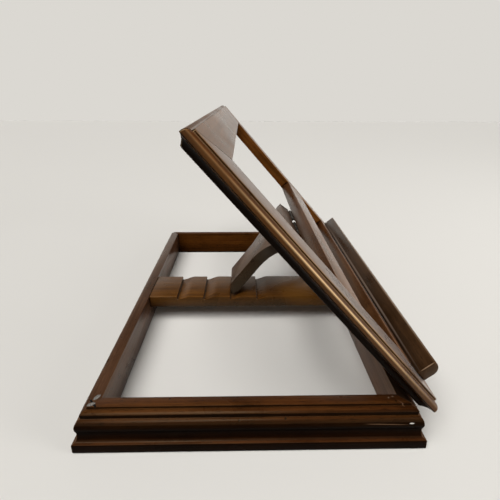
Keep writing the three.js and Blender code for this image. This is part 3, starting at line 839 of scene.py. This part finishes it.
@dataclass
class Desk(SubAssembly):
    """The moulded desk frame with its ledge and hinges."""

    body: str = "desk"
    slot: str = "desk_mahogany"
    square_edge: float = 5e-4

    @staticmethod
    def faces_reader(face: bpy.types.MeshPolygon) -> bool:
        """Tell the flat top, which lies towards the reader."""
        return face.normal.dot(Vector(DESK_FACE)) > 0.98

    @staticmethod
    def faces_hand(face: bpy.types.MeshPolygon) -> bool:
        """Tell the rounded outer edge, which the hand takes, from the cove under it."""
        return face.normal.dot(Vector(DESK_FACE)) > 0.03

    def faces_in(self, face: bpy.types.MeshPolygon) -> bool:
        """Tell the square inner edges round the openings from the moulded outer ones."""
        return abs(face.normal.dot(Vector(DESK_FACE))) < 0.1 and (
            face.normal.x * face.center.x < -0.5 * abs(face.center.x)
            or abs(face.normal.x) < 0.1 and face.area > self.square_edge)

    @staticmethod
    def highlit_and_rubbed_lines() -> tuple[Mark, ...]:
        """List the pale lines along the ledge: painted highlights, where books have also rubbed it pale."""
        return (
            Mark((-10.0, -162.6, 74.9), (210.0, 1.7, 1.7), "#75665a", strength=0.75, core=0.5),
            Mark((-8.0, -175.7, 86.0), (208.0, 0.8, 0.8), "#a08c78", strength=0.6),
            Mark((-219.4, -169.5, 80.4), (8.0, 0.5, 0.5), "#a0846a", (0.0, -0.76, 0.65), 0.6))

    def build(self) -> None:
        """Make every piece of the desk."""
        # Brown, with a little painted highlight on its noses.
        across = Mahogany("desk_mahogany_across", Grain.ACROSS, shift=0.83, face=DESK_FACE, nose=0.2,
                          worn="#a5744a", specular=0.4)
        # Deep red-brown, with a painted highlight along the edge's nose, brightest halfway up, and painted
        # shade on the uprights.
        slope = Mahogany("desk_mahogany_slope", Grain.DESK_SLOPE, shift=0.43, face=DESK_FACE, nose=0.95,
                         dark="#40200a", mid="#573010", light="#6d4219", worn="#f0c892", shoulder_painted_light=1.2,
                         upright_painted_light=0.12, crease_shade_reach=4.8, specular=0.03)
        # Round the openings the square edges are warm, with their uprights painted lighter and no painted
        # highlight.
        across_in = replace(across, name="desk_mahogany_across_inside", upright_painted_light=0.8, nose=0.0)
        # The rounded edge keeps the painted highlight, with less painted shade and more gloss.
        bullnose = replace(slope, name="desk_mahogany_bullnose", upright_painted_light=0.7, specular=0.4)
        slope_in = replace(slope, name="desk_mahogany_slope_inside", upright_painted_light=1.4, nose=0.0,
                           dark="#42230c", mid="#573111", light="#6b421b")
        for nodes, finish, inside in (
                (("desk_top_rail", "desk_mid_rail", "desk_bottom_rail"), across, across_in),
                (("desk_left_stile", "desk_right_stile"), slope, slope_in)):
            # Painted paler than the edges, as painted light, and glossy with a dusty sheen, so that the top
            # turns grey in low light.
            top = replace(finish, name=f"{finish.name}_top", specular=0.9, nose=0.0, sheen=0.1,
                          dark="#55331a", mid="#6a4427", light="#80583c", worn="#a5744a")
            for node in nodes:
                piece = self.member(node, finish)
                if finish is slope:
                    self.shop.dress_faces(piece, bullnose, self.faces_hand)
                self.shop.dress_faces(piece, inside, self.faces_in)
                self.shop.dress_faces(piece, top, self.faces_reader)
        # Dark and plain, with pale lines that are painted highlights where books have also rubbed it.
        ledge = replace(across, name="ledge_mahogany", dark="#382312", mid="#4b321d", light="#5b3f27",
                        upright_painted_light=0.8, nose=0.0, specular=0.3, worn="#a98d74", wear=0.8,
                        marks=self.highlit_and_rubbed_lines())
        self.member("book_ledge", ledge, ease=0.9)
        for count in SCREWS:
            self.screw(f"ledge_screw_{count}", STEEL, turn=0.5 * count)
        for side in self.sides:
            self.plate(f"{side}_hinge_desk_leaf", BRASS, "desk_hinge_brass")
            self.plate(f"{side}_prop_hinge_rail_leaf", IRON, "prop_hinge_iron")
            self.plate(f"{side}_prop_hinge_pin", IRON, "prop_hinge_iron", ease=0.1)
            for count in SCREWS:
                self.screw(f"{side}_hinge_desk_screw_{count}", STEEL, turn=0.6 * count)
                self.screw(f"{side}_prop_hinge_rail_screw_{count}", STEEL, turn=0.9 * count)


@dataclass
class Prop(SubAssembly):
    """The flared prop board and its hinge leaves."""

    body: str = "prop"
    slot: str = "prop_mahogany"

    @staticmethod
    def scars() -> tuple[Mark, ...]:
        """List the empty screw hole and the crack beside it."""
        return (
            Mark((6.5, -4.7, 109.5), (1.3, 1.3, 1.3), "#1c120b"),
            Mark((-9.7, -11.5, 118.3), (13.5, 0.6, 0.6), "#1c120b", (-0.36, -0.57, 0.74), 0.8))

    def build(self) -> None:
        """Make every piece of the prop."""
        # The darkest and coolest wood, with an old hole and a crack.
        board = Mahogany("prop_mahogany", Grain.PROP_SLOPE, shift=0.67, dark="#2f1c0d", mid="#412b1b",
                         light="#563d2c", upright_painted_light=0.4, specular=0.4, marks=self.scars())
        self.member("prop_board", board)
        for side in self.sides:
            self.plate(f"{side}_prop_hinge_prop_leaf", IRON, "prop_hinge_iron")
            for count in SCREWS:
                self.screw(f"{side}_prop_hinge_prop_screw_{count}", STEEL, turn=1.1 * count)


@dataclass
class Studio:
    """The pale floor, soft light and camera."""

    eye: Triple = (-0.49994, BASE_MIDDLE + 0.00654, 0.33797)
    yaw: float = -1.10
    pitch: float = 17.97
    roll: float = -0.24
    focal: float = 352.89
    axis: tuple[float, float] = (249.5, 206.72)
    frame_size: float = 500.0
    sensor: float = 36.0
    nearest: float = 0.01
    floor_size: float = 8.0
    floor_colour: str = "#e0ddd7"
    bounce_colour: str = "#dcd7cf"
    front_colour: str = "#2e2c2a"
    front_edge: float = -0.25
    front_blend: float = 0.01
    wall_colour: str = "#dbd8d2"
    ceiling_colour: str = "#4a4642"
    fill: tuple[float, float] = (0.12, 0.5)
    fill_from: tuple[float, float] = (-0.4, 0.3)
    sun_from: Triple = (-0.45, 0.3, 1.0)
    sun_spread: float = 45.0
    sun_strength: float = 3.0
    panel_place: Triple = (-0.74, -1.87, 0.67)
    panel_size: tuple[float, float] = (0.8, 1.0)
    panel_power: float = 14.0

    def build(self) -> None:
        """Set the whole studio."""
        self.floor()
        self.sky()
        self.sun()
        self.panel()
        self.camera()
        bpy.context.scene.view_settings.view_transform = "Standard"

    def floor(self) -> None:
        """Lay the plain pale floor, which throws up little light in front of the left rail."""
        bpy.ops.object.select_all(action="DESELECT")
        bpy.ops.mesh.primitive_plane_add(size=self.floor_size, location=(0, 0, 0))
        floor = bpy.context.object
        floor.name = "floor"
        material, tree = new_material("matt_white_laminate")
        across = add_node(tree, "ShaderNodeSeparateXYZ", {
            0: add_node(tree, "ShaderNodeTexCoord").outputs["Object"]}).outputs["X"]
        behind = add_node(tree, "ShaderNodeMapRange", {
            "Value": across, "From Min": self.front_edge,
            "From Max": self.front_edge + self.front_blend}).outputs[0]
        bounce = add_node(tree, "ShaderNodeMix", {
            0: behind, 6: linear(self.front_colour), 7: linear(self.bounce_colour)},
            data_type="RGBA").outputs[2]
        colour = add_node(tree, "ShaderNodeMix", {
            0: self.seen(tree), 6: bounce, 7: linear(self.floor_colour)}, data_type="RGBA").outputs[2]
        shader = add_node(tree, "ShaderNodeBsdfDiffuse", {"Color": colour})
        add_node(tree, "ShaderNodeOutputMaterial", {"Surface": shader.outputs[0]})
        floor.data.materials.append(material)

    @staticmethod
    def seen(tree: bpy.types.NodeTree) -> bpy.types.NodeSocket:
        """Tell what is seen, straight or in a reflection, from what only lights.

        Args:
            tree: the floor's or the room's nodes.

        Returns:
            A mask of the camera's, glossy and transmission rays.
        """
        path = add_node(tree, "ShaderNodeLightPath").outputs
        mask = add_node(tree, "ShaderNodeMath", {
            0: path["Is Camera Ray"], 1: path["Is Glossy Ray"]}, operation="MAXIMUM").outputs[0]
        return add_node(tree, "ShaderNodeMath", {
            0: mask, 1: path["Is Transmission Ray"]}, operation="MAXIMUM").outputs[0]

    def sky(self) -> None:
        """Set pale walls round the stand, under a dimmer ceiling."""
        world = bpy.data.worlds.new("pale_room")
        world.use_nodes = True
        tree = world.node_tree
        tree.nodes.clear()
        towards = add_node(tree, "ShaderNodeTexCoord").outputs["Generated"]
        way = add_node(tree, "ShaderNodeSeparateXYZ", {0: towards}).outputs
        colour = add_node(tree, "ShaderNodeValToRGB", {"Fac": way["Z"]}, stops=[
            (0.34, linear(self.wall_colour)), (0.68, linear(self.ceiling_colour))]).outputs[0]
        fill = add_node(tree, "ShaderNodeMapRange", {
            "Value": way["X"], "From Min": self.fill_from[0], "From Max": self.fill_from[1],
            "To Min": self.fill[0], "To Max": self.fill[1]}).outputs[0]
        strength = add_node(tree, "ShaderNodeMix", {0: self.seen(tree), 2: fill, 3: 1.0},
                            data_type="FLOAT").outputs[0]
        light = add_node(tree, "ShaderNodeBackground", {"Color": colour, "Strength": strength})
        add_node(tree, "ShaderNodeOutputWorld", {"Surface": light.outputs[0]})
        bpy.context.scene.world = world

    def sun(self) -> None:
        """Hang one very broad soft light high over the left rail, on the camera's side."""
        data = bpy.data.lights.new("broad_soft_light", "SUN")
        data.energy, data.angle = self.sun_strength, math.radians(self.sun_spread)
        lamp = bpy.data.objects.new("broad_soft_light", data)
        lamp.rotation_euler = Vector(self.sun_from).to_track_quat("Z", "Y").to_euler()
        bpy.context.scene.collection.objects.link(lamp)

    def panel(self) -> None:
        """Stand a soft panel on the reader's side, for the desk's face and its edge."""
        data = bpy.data.lights.new("long_soft_panel", "AREA")
        data.shape, data.energy = "RECTANGLE", self.panel_power
        data.size, data.size_y = self.panel_size
        lamp = bpy.data.objects.new("long_soft_panel", data)
        lamp.location = self.panel_place
        lamp.rotation_euler = Vector(self.panel_place).to_track_quat("Z", "Y").to_euler()
        bpy.context.scene.collection.objects.link(lamp)

    def camera(self) -> None:
        """Stand the camera where the photograph was taken from."""
        yaw, pitch, roll = (math.radians(a) for a in (self.yaw, self.pitch, self.roll))
        ahead = Vector((math.cos(pitch) * math.cos(yaw), math.cos(pitch) * math.sin(yaw),
                        -math.sin(pitch)))
        right = ahead.cross(Vector((0, 0, 1))).normalized()
        down = ahead.cross(right)
        level, drop = (math.cos(roll) * right + math.sin(roll) * down,
                       math.cos(roll) * down - math.sin(roll) * right)
        turn = Matrix((level, -drop, -ahead)).transposed()
        data = bpy.data.cameras.new("camera")
        data.sensor_width = self.sensor
        data.lens = self.focal * self.sensor / self.frame_size
        middle = (self.frame_size - 1) / 2
        data.shift_x = (middle - self.axis[0]) / self.frame_size
        data.shift_y = (self.axis[1] - middle) / self.frame_size
        data.clip_start = self.nearest
        camera = bpy.data.objects.new("camera", data)
        camera.matrix_world = Matrix.Translation(self.eye) @ turn.to_4x4()
        bpy.context.scene.collection.objects.link(camera)
        bpy.context.scene.camera = camera


def main() -> None:
    """Build the studio and the stand in order."""
    logging.basicConfig(level=logging.INFO, format="%(message)s")
    shop = Shop()
    Studio().build()
    BaseFrame(shop).build()
    Desk(shop).build()
    Prop(shop).build()


if __name__ == "__main__":
    main()
